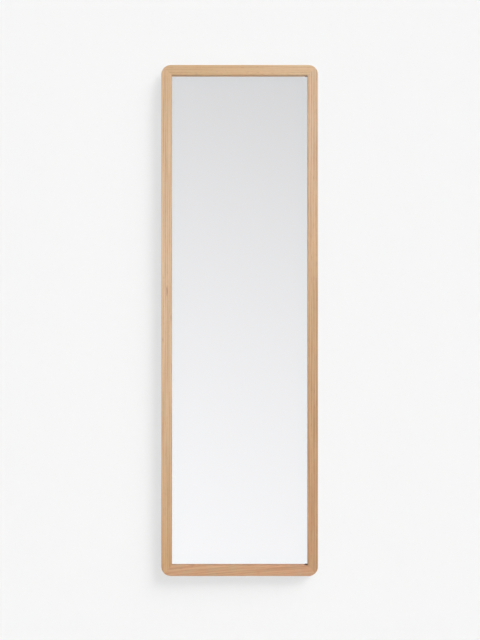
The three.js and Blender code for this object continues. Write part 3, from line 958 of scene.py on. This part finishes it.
def button_points(front, back):
    """From the hole's edge over the front face, round the rim, and over the back face to the hole."""
    rim, depths = eased_rings(button_outline(), front, back, BUTTON_EASE)
    spokes = rim[0] / np.linalg.norm(rim[0], axis=-1, keepdims=True)
    share = np.linspace(0, 1, FACE_ROWS, endpoint=False)[:, None, None]
    out = spokes * HOLE_RADIUS * (1 - share) + rim[0] * share
    plan = np.concatenate([out, rim, out[::-1]])
    depth = np.concatenate([np.full(FACE_ROWS, front), depths, np.full(FACE_ROWS, back)])
    u, w = plan[..., 0], plan[..., 1]
    ends = smooth_step(u, 5 * MM, 8 * MM) * (1 - smooth_step(u, 21 * MM, 24 * MM))
    rib = np.exp(-((w / RIB_SPREAD) ** 2)) * ends
    return np.stack([u, depth[:, None] + RIB_HEIGHT * rib, w], axis=-1)


def laid(points, x, z, direction):
    """Points drawn with the first number along a direction in the back's plane, moved to (x, z)."""
    along_x, along_z = direction
    u, y, w = points[..., 0], points[..., 1], points[..., 2]
    return np.stack([x + u * along_x - w * along_z, y, z + u * along_z + w * along_x], axis=-1)


print("rows and columns of a turn button:", button_points(0, 1 * MM).shape[:2])


# %% Eight turn buttons
BUTTON_DIRECTIONS = {"left": (1, 0), "right": (-1, 0), "top": (0, -1), "bottom": (0, 1)}


def middle_of(node):
    """The middle of a CAD node's box."""
    low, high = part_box(node)
    return (low + high) / 2


buttons = [name for name in frame["nodes"] if name.startswith("turn_button_")]
for node in sorted(buttons):
    place = node.removeprefix("turn_button_")
    low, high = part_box(node)
    screw = middle_of(f"button_screw_{place}")
    direction = BUTTON_DIRECTIONS[place.split("_")[0]]
    points = laid(button_points(low.y, high.y), screw.x, screw.z, direction)
    add_piece(f"steel_button_{place}", points, node, ZINC, body=node, close_rows=True)
print(len(buttons), "turn buttons")

# %% [markdown]
# ## Wood screws
# A screw is turned, so it is a profile swept round an axis, with two additions that depend on the
# angle as well. The thread is a ridge: a triangle wave of the depth in pitches less the angle's share
# of a turn. The driver's recess is a cross, where the head sinks near its arms. One surface holds
# head, thread and recess, so nothing is stuck on or cut away.

# %% Screw surface
HEAD_RADIUS, HEAD_HEIGHT = 3.2 * MM, 2.0 * MM
SHANK_RADIUS, ROOT_RADIUS = 1.5 * MM, 1.05 * MM
THREAD_PITCH = 1.4 * MM
SCREW_BELOW = 12.8 * MM
SCREW_TIP = 3.5 * MM
AROUND = 48


def screw_head_rows():
    """Radius and height of the head's rows, from the axis out over the rounded top to the underside."""
    share = np.concatenate([np.linspace(0.01, 0.86, 14), 1 - 0.14 * np.linspace(0.8, 0, 6) ** 2])
    height = HEAD_HEIGHT * (1 - share**4) ** 0.5
    return np.append(share * HEAD_RADIUS, SHANK_RADIUS), np.append(height, 0.0)


def screw_points(x, seat, z):
    """Head rows with the cross cut in, then shank rows with the thread, round the screw's axis."""
    angle = full_turn(AROUND)[None, :]
    radius, height = (row[:, None] + 0 * angle for row in screw_head_rows())
    arm_x, arm_z = np.abs(radius * np.cos(angle + 0.4)), np.abs(radius * np.sin(angle + 0.4))
    narrow = 1 - smooth_step(np.minimum(arm_x, arm_z), 0.32 * MM, 0.55 * MM)
    reach = 1 - smooth_step(np.maximum(arm_x, arm_z), 1.5 * MM, 2.0 * MM)
    height = height - 1.1 * MM * narrow * reach

    down = np.linspace(0.3 * MM, SCREW_BELOW, 70)[:, None]
    wave = np.abs(((down / THREAD_PITCH - angle / (2 * math.pi)) % 1) * 2 - 1)
    ridge = np.clip(wave * 2.2 - 1.2, 0, 1) * smooth_step(down, 2 * MM, 3.5 * MM)
    plain = 1 - smooth_step(down, 1.5 * MM, 3.0 * MM)
    taper = np.clip((SCREW_BELOW - down) / SCREW_TIP, 0.03, 1)
    shank = (ROOT_RADIUS + (SHANK_RADIUS - ROOT_RADIUS) * np.maximum(ridge, plain)) * taper
    radius = np.concatenate([radius, shank])
    depth = np.concatenate([seat + height, seat - down + 0 * angle])
    return np.stack([x + radius * np.cos(angle), depth, z + radius * np.sin(angle)], axis=-1)


print("rows and columns of a screw:", screw_points(0, 0, 0).shape[:2])


# %% Twelve screws
screws = [name for name in frame["nodes"] if "_screw_" in name]
for node in sorted(screws):
    centre, top = middle_of(node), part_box(node)[1].y
    points = screw_points(centre.x, top - HEAD_HEIGHT, centre.z)
    add_piece(f"wood_{node}", points, node, ZINC, crease=50)
print(len(screws), "screws of", AROUND, "columns")

# %% [markdown]
# ## Strap hangers
# Each hanger is one strip of steel. Its section, a flat rounded rectangle, is carried along a line
# that runs up the back of the stile and then rolls over into an eye. Bending a flat strip afterwards
# would stretch the eye, and a line doesn't. The strip's lower end narrows as a half circle does.

# %% Strap surface
STRAP_WIDTH, STRAP_THICK = 12 * MM, 1.2 * MM
STRAP_EASE = 0.35 * MM
EYE_RADIUS = 2.15 * MM
EYE_TURN = math.radians(290)
SCREW_DROPS = (9 * MM, 27 * MM)


def strap_line():
    """Places (height, depth) and normals along the middle of the strip, from its lower end, with the
    half width at each place."""
    lower_end = -SCREW_DROPS[1] - STRAP_WIDTH / 2
    bend = np.linspace(0, QUARTER, 12)
    rounded = lower_end + STRAP_WIDTH / 2 * (1 - np.cos(bend))
    run = np.concatenate([rounded, np.linspace(rounded[-1], 0, 16)[1:]])
    turn = -QUARTER + np.linspace(0, EYE_TURN, 40)[1:]
    eye_depth = STRAP_THICK / 2 + EYE_RADIUS
    height = np.concatenate([run, EYE_RADIUS * np.cos(turn)])
    depth = np.concatenate([np.full(len(run), STRAP_THICK / 2), eye_depth + EYE_RADIUS * np.sin(turn)])
    normal_height = np.concatenate([np.zeros(len(run)), -np.cos(turn)])
    normal_depth = np.concatenate([np.ones(len(run)), -np.sin(turn)])
    half_width = np.full(len(height), STRAP_WIDTH / 2)
    half_width[: len(bend)] = np.maximum(STRAP_WIDTH / 2 * np.sin(bend), 0.5 * MM)
    return height, depth, normal_height, normal_depth, half_width


def strap_points(x, depth_zero, pivot_z):
    """The rounded rectangle at every place of the line, with its width along X and its thickness
    along the normal."""
    height, depth, normal_height, normal_depth, half_width = strap_line()
    unit = rounded_rectangle(-1, 1, -STRAP_THICK / 2, STRAP_THICK / 2, STRAP_EASE, steps=4)
    side = np.sign(unit[0][:, 0])
    from_edge = STRAP_EASE * (1 - side * unit[1][:, 0])
    through = unit[0][:, 1] + STRAP_EASE * unit[1][:, 1]
    width = side[None, :] * (half_width[:, None] - from_edge[None, :])
    return np.stack([
        x + width,
        depth_zero + depth[:, None] + normal_depth[:, None] * through[None, :],
        pivot_z + height[:, None] + normal_height[:, None] * through[None, :],
    ], axis=-1)


print("rows and columns of a strap:", strap_points(0, 0, 0).shape[:2])


# %% [markdown]
# ## Hanger rings
# A ring is one length of round wire bent to a D, its two ends meeting inside the eye. A circle is
# carried along that flat line, which is straight runs and arcs put end to end, and the finished ring
# leans back on the frame as it does while the mirror hangs.

# %% Ring surface
WIRE_RADIUS = 1.25 * MM
RING_HALF, RING_LEG, RING_CORNER, RING_SPLIT = 9.5 * MM, 5 * MM, 2.5 * MM, 0.2 * MM
RING_LEAN = math.radians(5)
WIRE_AROUND = 24


def ring_line():
    """The wire's middle line and its normals in the ring's plane, from one cut end round to the other."""
    right = arc(RING_HALF - RING_CORNER, RING_CORNER, RING_CORNER, -QUARTER, 0, 12)
    top = arc(0, RING_LEG, RING_HALF, 0, math.pi, 60)
    left = right[::-1] * (-1, 1)
    bar = np.column_stack([np.linspace(RING_SPLIT, RING_HALF - RING_CORNER, 8)[:-1], np.zeros(7)])
    line = np.concatenate([bar, right, top, left, bar[::-1] * (-1, 1)])
    tangent = np.gradient(line, axis=0)
    tangent /= np.linalg.norm(tangent, axis=1, keepdims=True)
    return line, np.column_stack([-tangent[:, 1], tangent[:, 0]])


def ring_points(x, pivot_y, pivot_z):
    """A circle round every place of the line, then the whole ring leant about its straight bar."""
    line, normal = ring_line()
    angle = full_turn(WIRE_AROUND)
    plane = line[:, None] + WIRE_RADIUS * np.cos(angle)[None, :, None] * normal[:, None]
    up, out = plane[..., 1], np.broadcast_to(WIRE_RADIUS * np.sin(angle), plane.shape[:2])
    y = out * math.cos(RING_LEAN) - up * math.sin(RING_LEAN)
    z = up * math.cos(RING_LEAN) + out * math.sin(RING_LEAN)
    return np.stack([x + plane[..., 0], pivot_y + y, pivot_z + z], axis=-1)


print("rows and columns of a ring:", ring_points(0, 0, 0).shape[:2])


# %% Two hangers
for side in ("left", "right"):
    joint = next(j for j in frame["joints"] if j["name"] == f"hanger_ring_{side}_swing")
    x, pivot_y, pivot_z = joint["pos_m"]
    strap, ring = f"hanger_strap_{side}", f"hanger_ring_{side}"
    add_piece(f"steel_strap_{side}", strap_points(x, BACK, pivot_z), strap, ZINC)
    add_piece(f"wire_ring_{side}", ring_points(x, pivot_y, pivot_z), ring, ZINC, body=ring)
    print("hanger", side, "pivot", [round(v / MM, 2) for v in joint["pos_m"]])

# %% [markdown]
# ## Bumpers
# A bumper is a moulded rubber button, wider at its stuck face. Its profile is swept round its axis,
# with a rounded rim towards the wall and a flat end that rests on it. A bevelled cylinder would have
# upright sides and the same rim at both ends.

# %% Bumpers
RIM_EASE = 1.2 * MM


def bumper_points(node):
    """The profile from the stuck face up the sloping side, over the rim and in to the flat end."""
    low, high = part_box(node)
    centre = middle_of(node)
    foot, tip = (high.x - low.x) / 2, (high.x - low.x) / 2 - 1 * MM
    turn = np.linspace(0, QUARTER, 8)
    radius = np.concatenate([[foot - 0.3 * MM, foot], tip - RIM_EASE * (1 - np.cos(turn)), [0.5 * tip]])
    height = np.concatenate([[low.y, low.y + 0.3 * MM], high.y - RIM_EASE * (1 - np.sin(turn)), [high.y]])
    angle = full_turn(AROUND)[None, :]
    x, z = radius[:, None] * np.cos(angle), radius[:, None] * np.sin(angle)
    return np.stack([centre.x + x, height[:, None] + 0 * angle, centre.z + z], axis=-1)


for corner in CORNERS:
    node = f"wall_bumper_{corner}"
    add_piece(f"rubber_bumper_{corner}", bumper_points(node), node, RUBBER)
print(len(CORNERS), "bumpers")
